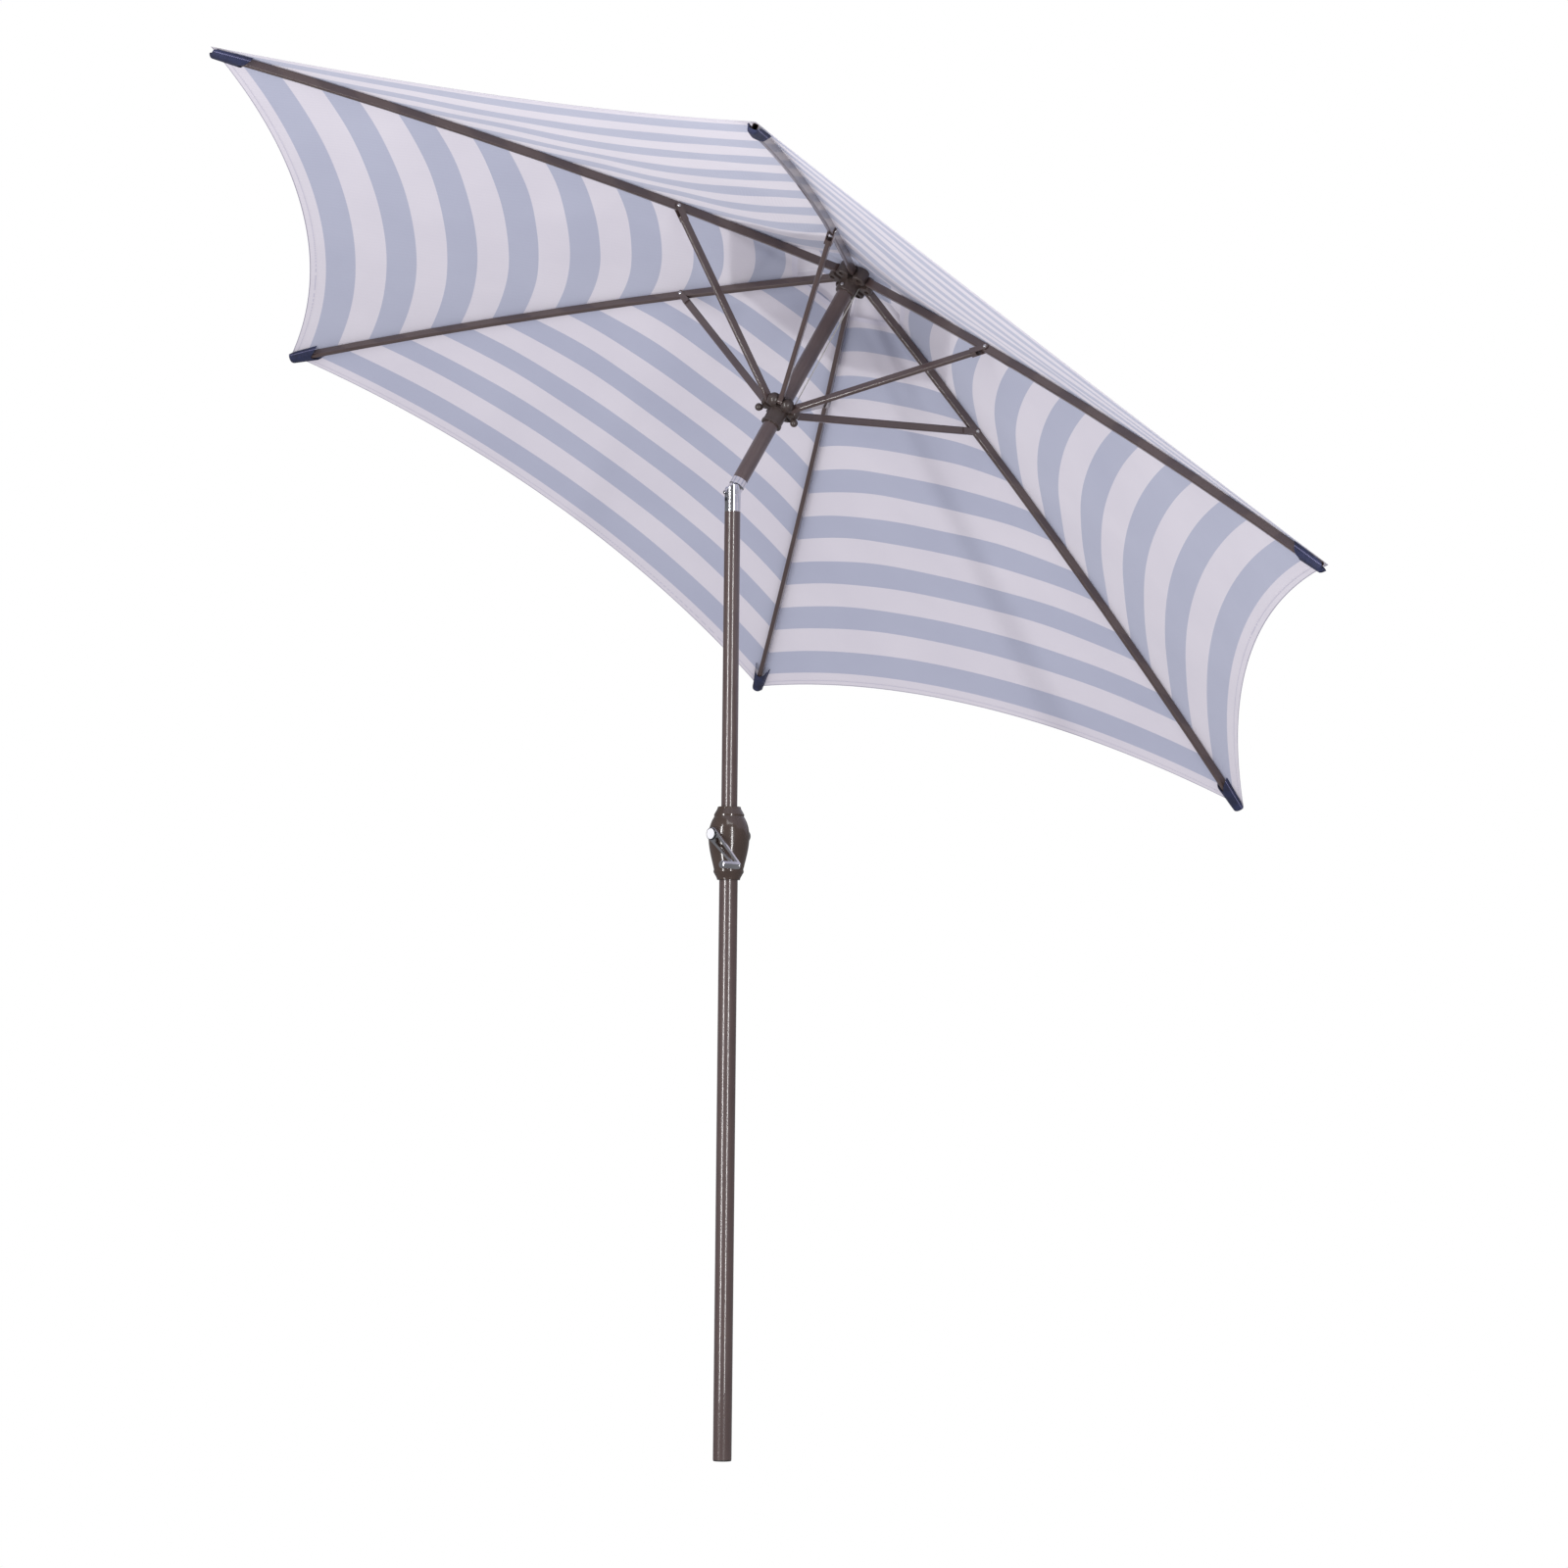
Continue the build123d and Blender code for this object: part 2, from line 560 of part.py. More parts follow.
with BuildPart() as pulley:
    with BuildSketch(radial_at(CORD_AZIMUTH, PULLEY_OUT, PULLEY_H)):
        Circle(PULLEY_R + 2.4)
    extrude(amount=PULLEY_SLOT - SIDE_PLAY, both=True)
    with BuildSketch(radial_at(CORD_AZIMUTH, PULLEY_OUT, PULLEY_H)):
        Circle(PULLEY_R + 3)
        Circle(PULLEY_R - 0.2, mode=Mode.SUBTRACT)
    extrude(amount=CORD_R + 0.4, both=True, mode=Mode.SUBTRACT)
    with BuildSketch(radial_at(CORD_AZIMUTH, PULLEY_OUT, PULLEY_H)):
        Circle(1.5 + FIT)
    extrude(amount=10, both=True, mode=Mode.SUBTRACT)
save(pulley, "pulley")

# ---------------------------------------------------------------- runner
RUNNER_COLLAR_R = 20.5
RUNNER_BOTTOM = RUNNER_PIN_H - 45.0
RUNNER_LOW = RUNNER_PIN_H - 13.0
RUNNER_HIGH = RUNNER_PIN_H + 13.0
RUNNER_SLOT_IN = 21.5
DOME_R = 14.5
DOME_OUT = 29.5
KNOB_R = 8.2
KNOB_OUT = 41.0
KNOB_H = RUNNER_PIN_H - 20.0
KNOB_AZIMUTHS = (150.0, 330.0)

with BuildPart() as runner:
    with BuildSketch(across(RUNNER_BOTTOM)):
        Circle(RUNNER_COLLAR_R)
    extrude(amount=RUNNER_HIGH - RUNNER_BOTTOM)
    with BuildSketch(across(RUNNER_BOTTOM)):
        Circle(RUNNER_COLLAR_R + 1.6)
    extrude(amount=5)
    with BuildSketch(across(RUNNER_LOW)):
        Circle(36)
    extrude(amount=2 * 9)
    for k in range(RIB_COUNT):
        spot = radial_at(HALF + k * STEP, DOME_OUT, RUNNER_PIN_H)
        with Locations(spot):
            Sphere(DOME_R)
    with BuildSketch(across(RUNNER_LOW - 8)):
        with PolarLocations((RUNNER_SLOT_IN + 70) / 2, RIB_COUNT):
            Rectangle(70 - RUNNER_SLOT_IN, STRUT_WIDE + 2 * SIDE_PLAY)
    extrude(amount=60, mode=Mode.SUBTRACT)
    for k in range(RIB_COUNT):
        with BuildSketch(radial_at(k * STEP, RUNNER_PIN_R, RUNNER_PIN_H)):
            Circle(2.5 + FIT)
        extrude(amount=12.5, both=True, mode=Mode.SUBTRACT)
    with BuildSketch(across(RUNNER_BOTTOM - 1)):
        Circle(UPPER_POLE_R + SLIDE)
    extrude(amount=60, mode=Mode.SUBTRACT)
    for azimuth in KNOB_AZIMUTHS:
        with BuildSketch(across(RUNNER_LOW - 20)):
            with PolarLocations(34, 1, start_angle=azimuth):
                Circle(2.2)
        extrude(amount=24, mode=Mode.SUBTRACT)
save(runner, "runner")

with BuildPart() as runner_pins:
    for k in range(RIB_COUNT):
        with BuildSketch(radial_at(k * STEP, RUNNER_PIN_R, RUNNER_PIN_H)):
            Circle(2.5)
        extrude(amount=12, both=True)
save(runner_pins, "runner_pins")

with BuildPart() as runner_knobs:
    for azimuth in KNOB_AZIMUTHS:
        with Locations(radial_at(azimuth, KNOB_OUT, KNOB_H)):
            Sphere(KNOB_R)
        with BuildSketch(across(KNOB_H - 2)):
            with PolarLocations(34, 1, start_angle=azimuth):
                Circle(2.2 - FIT)
        extrude(amount=RUNNER_LOW + 3 - KNOB_H)
save(runner_knobs, "runner_knobs")

# ---------------------------------------------------------------- lift cord
def cord_between(start, end):
    """Straight run of the lift cord from one point to another."""
    along = (Vector(*end) - Vector(*start))
    with BuildPart() as run:
        with BuildSketch(Plane(origin=start, z_dir=along)):
            Circle(CORD_R)
        extrude(amount=along.length)
    return run


spool_side = SPOOL_R + CORD_R + LOOSE
lift_cord_lower = cord_between(
    (spool_side * CRANK_SIDE[0], spool_side * CRANK_SIDE[1], CRANK_Z),
    (CORD_TILT_X, 0, PIVOT_Z + TILT_FLOOR - 1),
)
save(lift_cord_lower, "lift_cord_lower")

cord_in = PULLEY_OUT - PULLEY_R - CORD_R
lift_cord_upper = cord_between(
    LEAN.from_local_coords((CORD_TILT_X, 0, -13)),
    radial(CORD_AZIMUTH).from_local_coords((cord_in, PULLEY_H, 0)),
)
save(lift_cord_upper, "lift_cord_upper")

cord_out = PULLEY_OUT + PULLEY_R + CORD_R
lift_cord_outer = cord_between(
    radial(CORD_AZIMUTH).from_local_coords((cord_out, PULLEY_H, 0)),
    radial(CORD_AZIMUTH).from_local_coords((cord_out + 3, RUNNER_PIN_H + DOME_R - 0.4, 0)),
)
save(lift_cord_outer, "lift_cord_outer")

# ---------------------------------------------------------------- ribs and struts
RIB_TUBE_START = 40.0
RIB_END = TIP_R - 6.0
RIB_STRETCHES = 8
RIB_STATIONS = [
    RIB_TUBE_START + (RIB_END - RIB_TUBE_START) * i / RIB_STRETCHES for i in range(RIB_STRETCHES + 1)
]
STRUT_REACH = hypot(JOINT_R - RUNNER_PIN_R, JOINT_H - RUNNER_PIN_H)
STRUT_CLIMB = degrees(atan2(JOINT_H - RUNNER_PIN_H, JOINT_R - RUNNER_PIN_R))
CLIP_THICK = 2.0
CLIP_IN = RIB_WIDE / 2 + SIDE_PLAY
RIVET_R = 3.0
CLIP_BACK = 22.0
CLIP_TUBE_END = STRUT_REACH - CLIP_BACK

for k, letter in enumerate(RIB_NAMES):
    azimuth = k * STEP

    # rib: a rectangular tube in short straight stretches, with an eye at the hub
    with BuildPart() as rib:
        with BuildLine(radial(azimuth)) as path:
            Polyline(*[(r, rib_height(r)) for r in RIB_STATIONS])
        line = path.wires()[0]
        start = Plane(origin=line @ 0, x_dir=radial(azimuth).z_dir, z_dir=line % 0)
        with BuildSketch(start):
            RectangleRounded(RIB_WIDE, RIB_DEEP, 3)
            RectangleRounded(RIB_WIDE - 2 * RIB_WALL, RIB_DEEP - 2 * RIB_WALL, 2, mode=Mode.SUBTRACT)
        sweep(path=line, transition=Transition.RIGHT)
        with BuildSketch(radial_at(azimuth, HUB_PIN_R, HUB_PIN_H, rib_slope(HUB_PIN_R))):
            Circle(8)
            with Locations((8, 0)):
                Rectangle(16, 16)
        extrude(amount=RIB_WIDE / 2, both=True)
        with BuildSketch(radial_at(azimuth, HUB_PIN_R, HUB_PIN_H)):
            Circle(2.5 + FIT)
        extrude(amount=20, both=True, mode=Mode.SUBTRACT)
        with BuildSketch(radial_at(azimuth, JOINT_R, JOINT_H)):
            Circle(RIVET_R + FIT)
        extrude(amount=20, both=True, mode=Mode.SUBTRACT)
    save(rib, f"rib_{letter}")

    # strut: a straight rectangular tube, an eye at the runner, a riveted clip round the rib
    climb = radial_at(azimuth, RUNNER_PIN_R, RUNNER_PIN_H, STRUT_CLIMB)
    with BuildPart() as strut:
        with BuildSketch(Plane(origin=climb.origin + climb.x_dir * 14, x_dir=climb.z_dir, z_dir=climb.x_dir)):
            RectangleRounded(STRUT_WIDE, STRUT_DEEP, 3)
            RectangleRounded(STRUT_WIDE - 2 * RIB_WALL, STRUT_DEEP - 2 * RIB_WALL, 2, mode=Mode.SUBTRACT)
        extrude(amount=CLIP_TUBE_END - 14)
        with BuildSketch(climb):
            Circle(8)
            with Locations((10, 0)):
                Rectangle(20, 14)
        extrude(amount=STRUT_WIDE / 2, both=True)
        with BuildSketch(climb):
            Circle(2.5 + OPEN_PIVOT)
        extrude(amount=20, both=True, mode=Mode.SUBTRACT)
        with BuildSketch(climb):
            with Locations((STRUT_REACH, 0)):
                Circle(7.5)
            with Locations(((STRUT_REACH + CLIP_TUBE_END - 12) / 2, 0)):
                Rectangle(CLIP_BACK + 12, 13)
        extrude(amount=CLIP_IN + CLIP_THICK, both=True)
        with BuildSketch(climb):
            with Locations((STRUT_REACH + 20 - CLIP_BACK / 2, 0)):
                Rectangle(CLIP_BACK + 40, 60)
        extrude(amount=CLIP_IN, both=True, mode=Mode.SUBTRACT)
        with BuildSketch(climb):
            with Locations((STRUT_REACH, 0)):
                Circle(RIVET_R)
        extrude(amount=CLIP_IN + CLIP_THICK + 1.5, both=True)
    save(strut, f"strut_{letter}")

# ---------------------------------------------------------------- canopy
POCKET_LONG = 92.0
POCKET_HALF_WIDE = 16.0
POCKET_FLOOR = 12.5
POCKET_SKIN = 2.5
POCKET_TOP = 6.4
PANEL_WIDE = 800.0


def hem_u(lateral, corner_r, scallop):
    """Distance of a gore's curved hem from the pole, along the gore's middle line."""
    half_chord = corner_r * sin(radians(HALF))
    chord_u = corner_r * cos(radians(HALF))
    if scallop < 1:
        return chord_u
    bow = (half_chord**2 + scallop**2) / (2 * scallop)
    return chord_u - scallop + bow - sqrt(bow**2 - lateral**2)


def half_gore(azimuth, side, height, inner_r, corner_r, scallop):
    """Cloth from one rib to the middle of the gore beside it; height gives its underside at a rib."""
    gore = azimuth + side * HALF
    shrink = cos(radians(HALF))
    stations = (inner_r, (inner_r + corner_r) / 2, corner_r)
    low = [(shrink * r, height(r)) for r in stations]
    high = [(u, h + CLOTH) for u, h in low]
    slant = sin(radians(HALF))
    rib_in = (inner_r * shrink + CLOTH_GAP * slant, -side * (inner_r * slant - CLOTH_GAP * shrink))
    corner = (corner_r * shrink + CLOTH_GAP * slant, -side * (corner_r * slant - CLOTH_GAP * shrink))
    quarter = -side * corner_r * slant / 2
    middle = -side * CLOTH_GAP
    with BuildPart() as half:
        with BuildSketch(radial(gore)):
            with BuildLine():
                ThreePointArc(*low)
                Line(low[2], high[2])
                ThreePointArc(high[2], high[1], high[0])
                Line(high[0], low[0])
            make_face()
        extrude(amount=PANEL_WIDE, both=True)
        with BuildSketch(across(0, gore)):
            with BuildLine():
                Line((inner_r * shrink, middle), rib_in)
                Line(rib_in, corner)
                ThreePointArc(
                    corner,
                    (hem_u(quarter, corner_r, scallop), quarter),
                    (hem_u(0, corner_r, scallop), middle),
                )
                Line((hem_u(0, corner_r, scallop), middle), (inner_r * shrink, middle))
            make_face()
        extrude(amount=PANEL_WIDE, mode=Mode.INTERSECT)
    return half


def canopy_height(radius):
    """Underside of the main canopy above a rib."""
    return rib_height(radius) + CLOTH_LIFT


def vent_height(radius):
    """Underside of the vent above a rib."""
    first = (VENT_MID_H - VENT_TOP_H) / (VENT_MID_R - VENT_IN_R)
    second = (VENT_OUT_H - VENT_MID_H) / (VENT_OUT_R - VENT_MID_R)
    bend = (second - first) / (VENT_OUT_R - VENT_IN_R)
    return VENT_TOP_H + first * (radius - VENT_IN_R) + bend * (radius - VENT_IN_R) * (radius - VENT_MID_R)


for k, letter in enumerate(RIB_NAMES):
    azimuth = k * STEP

    # pocket of folded webbing that holds the rib's end
    pocket_r = TIP_R - POCKET_LONG * cos(radians(rib_slope(TIP_R)))
    sleeve = radial_at(azimuth, pocket_r, rib_height(pocket_r), rib_slope((pocket_r + TIP_R) / 2))
    section = Plane(origin=sleeve.origin, x_dir=sleeve.z_dir, z_dir=sleeve.x_dir)
    up = 1 if section.y_dir.dot(LEAN.z_dir) > 0 else -1
    with BuildPart() as tip_pocket:
        with BuildSketch(section):
            Polygon(
                (-POCKET_HALF_WIDE + 6, -up * POCKET_FLOOR),
                (POCKET_HALF_WIDE - 6, -up * POCKET_FLOOR),
                (POCKET_HALF_WIDE, up * POCKET_TOP),
                (-POCKET_HALF_WIDE, up * POCKET_TOP),
                align=None,
            )
        extrude(amount=POCKET_LONG)
        with BuildSketch(section):
            with Locations((0, up * (30 - POCKET_FLOOR + POCKET_SKIN))):
                Rectangle(RIB_WIDE + 2 * SIDE_PLAY, 60)
        extrude(amount=POCKET_LONG - 4, mode=Mode.SUBTRACT)
    save(tip_pocket, f"tip_pocket_{letter}")

    canopy_halves = [
        half_gore(azimuth, side, canopy_height, CANOPY_IN_R, CANOPY_OUT_R, SCALLOP) for side in (-1, 1)
    ]
    with BuildPart() as canopy_panel:
        for half in canopy_halves:
            add(half)
    save(canopy_panel, f"canopy_panel_{letter}")

    vent_halves = [half_gore(azimuth, side, vent_height, VENT_IN_R, VENT_OUT_R, 0) for side in (-1, 1)]
    with BuildPart() as vent_panel:
        for half in vent_halves:
            add(half)
    save(vent_panel, f"vent_panel_{letter}")
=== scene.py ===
"""Beach umbrella: looks, soft pieces, studio and camera. Metres, in the frame of the CAD model."""

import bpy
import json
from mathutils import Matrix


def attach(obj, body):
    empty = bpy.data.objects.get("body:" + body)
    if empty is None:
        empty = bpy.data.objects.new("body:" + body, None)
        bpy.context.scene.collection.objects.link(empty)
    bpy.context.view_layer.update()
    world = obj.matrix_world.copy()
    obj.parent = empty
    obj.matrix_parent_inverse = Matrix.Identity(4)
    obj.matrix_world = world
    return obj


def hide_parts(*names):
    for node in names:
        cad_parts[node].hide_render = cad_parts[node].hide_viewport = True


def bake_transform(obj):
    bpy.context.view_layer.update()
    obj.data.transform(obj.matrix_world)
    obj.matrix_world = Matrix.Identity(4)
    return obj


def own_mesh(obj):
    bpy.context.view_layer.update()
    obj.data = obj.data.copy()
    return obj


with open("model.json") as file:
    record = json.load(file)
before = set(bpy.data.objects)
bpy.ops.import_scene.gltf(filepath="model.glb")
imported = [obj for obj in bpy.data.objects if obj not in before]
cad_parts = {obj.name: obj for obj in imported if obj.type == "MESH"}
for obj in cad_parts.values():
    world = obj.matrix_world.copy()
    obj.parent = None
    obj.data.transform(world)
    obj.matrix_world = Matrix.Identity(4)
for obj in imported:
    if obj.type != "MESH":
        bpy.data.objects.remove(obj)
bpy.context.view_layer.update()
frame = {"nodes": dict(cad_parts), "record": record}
import json
from math import cos, pi, radians, sin, sqrt

import bpy
import numpy as np
from mathutils import Matrix, Vector

nodes = frame["nodes"]
record = frame["record"]
joints = {j["name"]: j for j in record["behaviour"]["joints"]}

# ---------------------------------------------------------------- the leaning frame
PIVOT = Vector(joints["tilt"]["pos_m"])
UP = -Vector(joints["runner_slide"]["axis"]).normalized()
ACROSS = Vector((0, 1, 0))
OUT = ACROSS.cross(UP).normalized()
RIBS = "abcdef"
STEP = 2 * pi / len(RIBS)
HALF = STEP / 2
NEAR_PLANE = 0.001           # how far from a plane a point still counts as on it


def outward(azimuth):
    """Direction away from the leaning pole at an azimuth in radians."""
    return OUT * cos(azimuth) + ACROSS * sin(azimuth)


def place(azimuth, radius, height):
    """Point at an azimuth, a distance from the leaning pole and a height above the tilt pivot."""
    return PIVOT + outward(azimuth) * radius + UP * height


def rib_section(node, azimuth=0.0, near=NEAR_PLANE):
    """Radii and heights of a node's points near the radial plane of its rib."""
    side = UP.cross(outward(azimuth))
    found = []
    for vertex in nodes[node].data.vertices:
        p = vertex.co - PIVOT
        if abs(p.dot(side)) < near:
            found.append((p.dot(outward(azimuth)), p.dot(UP)))
    return np.array(found)


def gore_reach(node, azimuth=0.0):
    """How far a node reaches along the middle line of the gore beside its rib."""
    middle = outward(azimuth + HALF)
    side = UP.cross(middle)
    points = [vertex.co - PIVOT for vertex in nodes[node].data.vertices]
    return max(p.dot(middle) for p in points if abs(p.dot(side)) < NEAR_PLANE)


# ---------------------------------------------------------------- material helpers
class Shader:
    """A node material with short calls for the nodes that the finishes use."""

    def __init__(self, name, roughness, metallic=0.0, coat=0.0, sheen=0.0):
        self.material = bpy.data.materials.new(name)
        self.material.use_nodes = True
        self.tree = self.material.node_tree
        self.bsdf = self.tree.nodes["Principled BSDF"]
        self.bsdf.inputs["Roughness"].default_value = roughness
        self.bsdf.inputs["Metallic"].default_value = metallic
        self.bsdf.inputs["Coat Weight"].default_value = coat
        self.bsdf.inputs["Coat Roughness"].default_value = 0.05
        self.bsdf.inputs["Sheen Weight"].default_value = sheen
        self.coords = self.tree.nodes.new("ShaderNodeTexCoord").outputs["Object"]

    def link(self, source, target):
        self.tree.links.new(source, target)

    def noise(self, scale, detail=3.0):
        node = self.tree.nodes.new("ShaderNodeTexNoise")
        node.inputs["Scale"].default_value = scale
        node.inputs["Detail"].default_value = detail
        self.link(self.coords, node.inputs["Vector"])
        return node.outputs["Fac"]

    def ramp(self, value, stops):
        """Colour or grey from a value, by stops of (position, colour)."""
        node = self.tree.nodes.new("ShaderNodeValToRGB")
        band = node.color_ramp
        while len(band.elements) < len(stops):
            band.elements.new(0.5)
        for element, (position, colour) in zip(band.elements, stops):
            element.position = position
            element.color = (*colour, 1.0) if len(colour) == 3 else colour
        self.link(value, node.inputs["Fac"])
        return node.outputs["Color"]

    def math(self, operation, a, b=0.5, c=0.5):
        node = self.tree.nodes.new("ShaderNodeMath")
        node.operation = operation
        for socket, value in zip(node.inputs, (a, b, c)):
            if isinstance(value, (int, float)):
                socket.default_value = value
            else:
                self.link(value, socket)
        return node.outputs["Value"]

    def attribute(self, name):
        node = self.tree.nodes.new("ShaderNodeAttribute")
        node.attribute_name = name
        return node.outputs["Fac"]

    def mix(self, factor, a, b, blend="MIX"):
        node = self.tree.nodes.new("ShaderNodeMix")
        node.data_type = "RGBA"
        node.blend_type = blend
        if isinstance(factor, (int, float)):
            node.inputs["Factor"].default_value = factor
        else:
            self.link(factor, node.inputs["Factor"])
        for socket, value in ((node.inputs["A"], a), (node.inputs["B"], b)):
            if isinstance(value, tuple):
                socket.default_value = (*value, 1.0)
            else:
                self.link(value, socket)
        return node.outputs["Result"]

    def bump(self, height, distance, strength=1.0):
        node = self.tree.nodes.new("ShaderNodeBump")
        node.inputs["Distance"].default_value = distance
        node.inputs["Strength"].default_value = strength
        self.link(height, node.inputs["Height"])
        self.link(node.outputs["Normal"], self.bsdf.inputs["Normal"])
        return node.outputs["Normal"]

    def weave(self, scale):
        """Plain weave: two crossed sets of threads."""
        threads = []
        for direction in ("X", "Z"):
            wave = self.tree.nodes.new("ShaderNodeTexWave")
            wave.bands_direction = direction
            wave.inputs["Scale"].default_value = scale
            wave.inputs["Distortion"].default_value = 0.6
            self.link(self.coords, wave.inputs["Vector"])
            threads.append(wave.outputs["Fac"])
        return self.math("MULTIPLY", threads[0], threads[1])

    def dashes(self, name, per_metre, fill):
        """Stitches along an attribute that holds metres."""
        place_in_stitch = self.math("FRACT", self.math("MULTIPLY", self.attribute(name), per_metre))
        return self.math("LESS_THAN", place_in_stitch, fill)

    def worn(self, low, high, scale=26.0):
        """Roughness that wanders between two values, as handled surfaces do."""
        grey = self.ramp(self.noise(scale), [(0.3, (low,) * 3), (0.75, (high,) * 3)])
        self.link(grey, self.bsdf.inputs["Roughness"])

    def colour(self, value):
        self.link(value, self.bsdf.inputs["Base Color"])


def painted(name, dark, light, low, high, coat, grain, depth):
    """Powder coat or moulded plastic: a little mottling, fine grain, uneven shine."""
    s = Shader(name, 0.3, coat=coat)
    s.colour(s.ramp(s.noise(9.0), [(0.3, dark), (0.7, light)]))
    s.worn(low, high)
    s.bump(s.noise(grain, 2.0), depth)
    return s.material


def plated(name, dark, light, low, high, grain=300.0, depth=0.00002):
    """Chrome or zinc: metal with faint haze and handling marks."""
    s = Shader(name, 0.1, metallic=1.0)
    s.colour(s.ramp(s.noise(30.0), [(0.35, dark), (0.65, light)]))
    s.worn(low, high, 40.0)
    s.bump(s.noise(grain, 1.0), depth)
    return s.material


def braided(name, dark, light):
    """Thin braided cord."""
    s = Shader(name, 0.8, sheen=0.2)
    s.colour(s.ramp(s.weave(260.0), [(0.1, dark), (0.7, light)]))
    s.bump(s.weave(260.0), 0.0003)
    return s.material


WHITE = (0.558, 0.531, 0.576)
BLUE = (0.348, 0.363, 0.453)
BAND_START = 0.030
BAND_PERIOD = 0.112
BAND_FILL = 0.49
STITCHES = 220.0             # stitches per metre
STITCH_FILL = 0.62
HEM_ROW = 0.013              # stitched row, in from the hem
HEM_ROW_HALF = 0.0012
SEAM_ROW = 0.006             # stitched row, out from a rib
SEAM_ROW_HALF = 0.0009
HEM_LIP = 0.0022
HEM_FOLD = 0.016
BINDING = 0.012              # bound edge at the middle
STITCH_COLOUR = (0.30, 0.29, 0.40)
LIP_COLOUR = (0.12, 0.11, 0.18)
BINDING_COLOUR = (0.50, 0.48, 0.55)
PLAIN = (1.0, 1.0, 1.0)
GLOW = 0.38                  # share of light that passes through the cloth


def canopy_cloth():
    """Woven polyester with bands that follow the hem, a stitched hem and a bound inner edge."""
    s = Shader("canopy_cloth", 0.85, sheen=0.25)
    along = s.math("DIVIDE", s.math("SUBTRACT", s.attribute("band"), BAND_START), BAND_PERIOD)
    inside = s.math("LESS_THAN", s.math("FRACT", along), BAND_FILL)
    blue = s.math("MULTIPLY", inside, s.math("GREATER_THAN", along, 0.0))
    cloth = s.mix(blue, WHITE, BLUE)
    shade = s.ramp(s.noise(5.0), [(0.3, (0.95, 0.95, 0.96)), (0.7, PLAIN)])
    cloth = s.mix(1.0, cloth, shade, "MULTIPLY")
    threads = s.weave(190.0)
    # painted shade: the cloth colour is darkened in the hollows between the threads
    painted_weave_shade = s.ramp(threads, [(0.0, (0.93, 0.93, 0.94)), (0.6, PLAIN)])
    cloth = s.mix(1.0, cloth, painted_weave_shade, "MULTIPLY")
    # rows of stitches along the hem and beside each rib seam
    edge = s.attribute("edge")
    row = s.math("COMPARE", edge, HEM_ROW, HEM_ROW_HALF)
    stitch = s.dashes("run", STITCHES, STITCH_FILL)
    seam = s.math("COMPARE", s.attribute("seam"), SEAM_ROW, SEAM_ROW_HALF)
    seam_stitch = s.dashes("span", STITCHES, STITCH_FILL)
    rows = s.math("MAXIMUM", s.math("MULTIPLY", row, stitch), s.math("MULTIPLY", seam, seam_stitch))
    cloth = s.mix(s.math("MULTIPLY", rows, 0.55), cloth, STITCH_COLOUR)
    lip = s.math("LESS_THAN", edge, HEM_LIP)
    cloth = s.mix(s.math("MULTIPLY", lip, 0.6), cloth, LIP_COLOUR)
    bound = s.math("LESS_THAN", s.attribute("inner"), BINDING)
    cloth = s.mix(bound, cloth, BINDING_COLOUR)
    s.colour(cloth)
    fold = s.math("LESS_THAN", edge, HEM_FOLD)
    relief = s.math("ADD", s.math("MULTIPLY", threads, 0.25), s.math("ADD", fold, bound))
    s.bump(s.math("SUBTRACT", relief, rows), 0.0006, 0.7)
    glow = s.tree.nodes.new("ShaderNodeBsdfTranslucent")
    s.link(cloth, glow.inputs["Color"])
    blend = s.tree.nodes.new("ShaderNodeMixShader")
    blend.inputs["Fac"].default_value = GLOW
    s.link(s.bsdf.outputs["BSDF"], blend.inputs[1])
    s.link(glow.outputs["BSDF"], blend.inputs[2])
    s.link(blend.outputs["Shader"], s.tree.nodes["Material Output"].inputs["Surface"])
    return s.material


def pocket_cloth():
    """Navy webbing with ribbing across it and paler stitches along its edges."""
    s = Shader("pocket_cloth", 0.8, sheen=0.03)
    ribs = s.math("SINE", s.math("MULTIPLY", s.attribute("run"), 2600.0))
    body = s.ramp(s.noise(60.0), [(0.3, (0.005, 0.007, 0.030)), (0.7, (0.009, 0.014, 0.056))])
    row = s.math("COMPARE", s.attribute("edge"), 0.003, 0.0005)
    stitch = s.dashes("run", 260.0, 0.6)
    s.colour(s.mix(s.math("MULTIPLY", row, stitch), body, (0.12, 0.12, 0.22)))
    s.bump(s.math("ADD", s.math("MULTIPLY", ribs, 0.5), row), 0.0003)
    return s.material


# dark and light colour, lowest and highest roughness, coat, grain per metre and its depth
PAINTS = {
    "pole_brown": ((0.050, 0.032, 0.030), (0.062, 0.041, 0.038), 0.28, 0.36, 0.9, 160.0, 0.000006),
    "plastic_brown": ((0.036, 0.024, 0.019), (0.046, 0.031, 0.025), 0.16, 0.26, 0.5, 60.0, 0.00003),
    "hub_brown": ((0.034, 0.024, 0.021), (0.048, 0.034, 0.030), 0.30, 0.45, 0.1, 500.0, 0.00008),
    "foot_plastic": ((0.018, 0.015, 0.015), (0.030, 0.026, 0.025), 0.45, 0.65, 0.0, 380.0, 0.0001),
    "black_plastic": ((0.010, 0.010, 0.011), (0.018, 0.018, 0.019), 0.18, 0.30, 0.4, 240.0, 0.00004),
    "badge_grey": ((0.50, 0.50, 0.53), (0.56, 0.56, 0.59), 0.30, 0.42, 0.3, 240.0, 0.00003),
}
finish = {name: painted(name, *values) for name, values in PAINTS.items()}
finish["chrome"] = plated("chrome", (0.62, 0.62, 0.65), (0.80, 0.80, 0.83), 0.05, 0.16)
finish["steel"] = plated("steel", (0.50, 0.50, 0.52), (0.66, 0.66, 0.68), 0.22, 0.40, 600.0, 0.00005)
finish["cord"] = braided("cord", (0.30, 0.29, 0.27), (0.60, 0.59, 0.56))
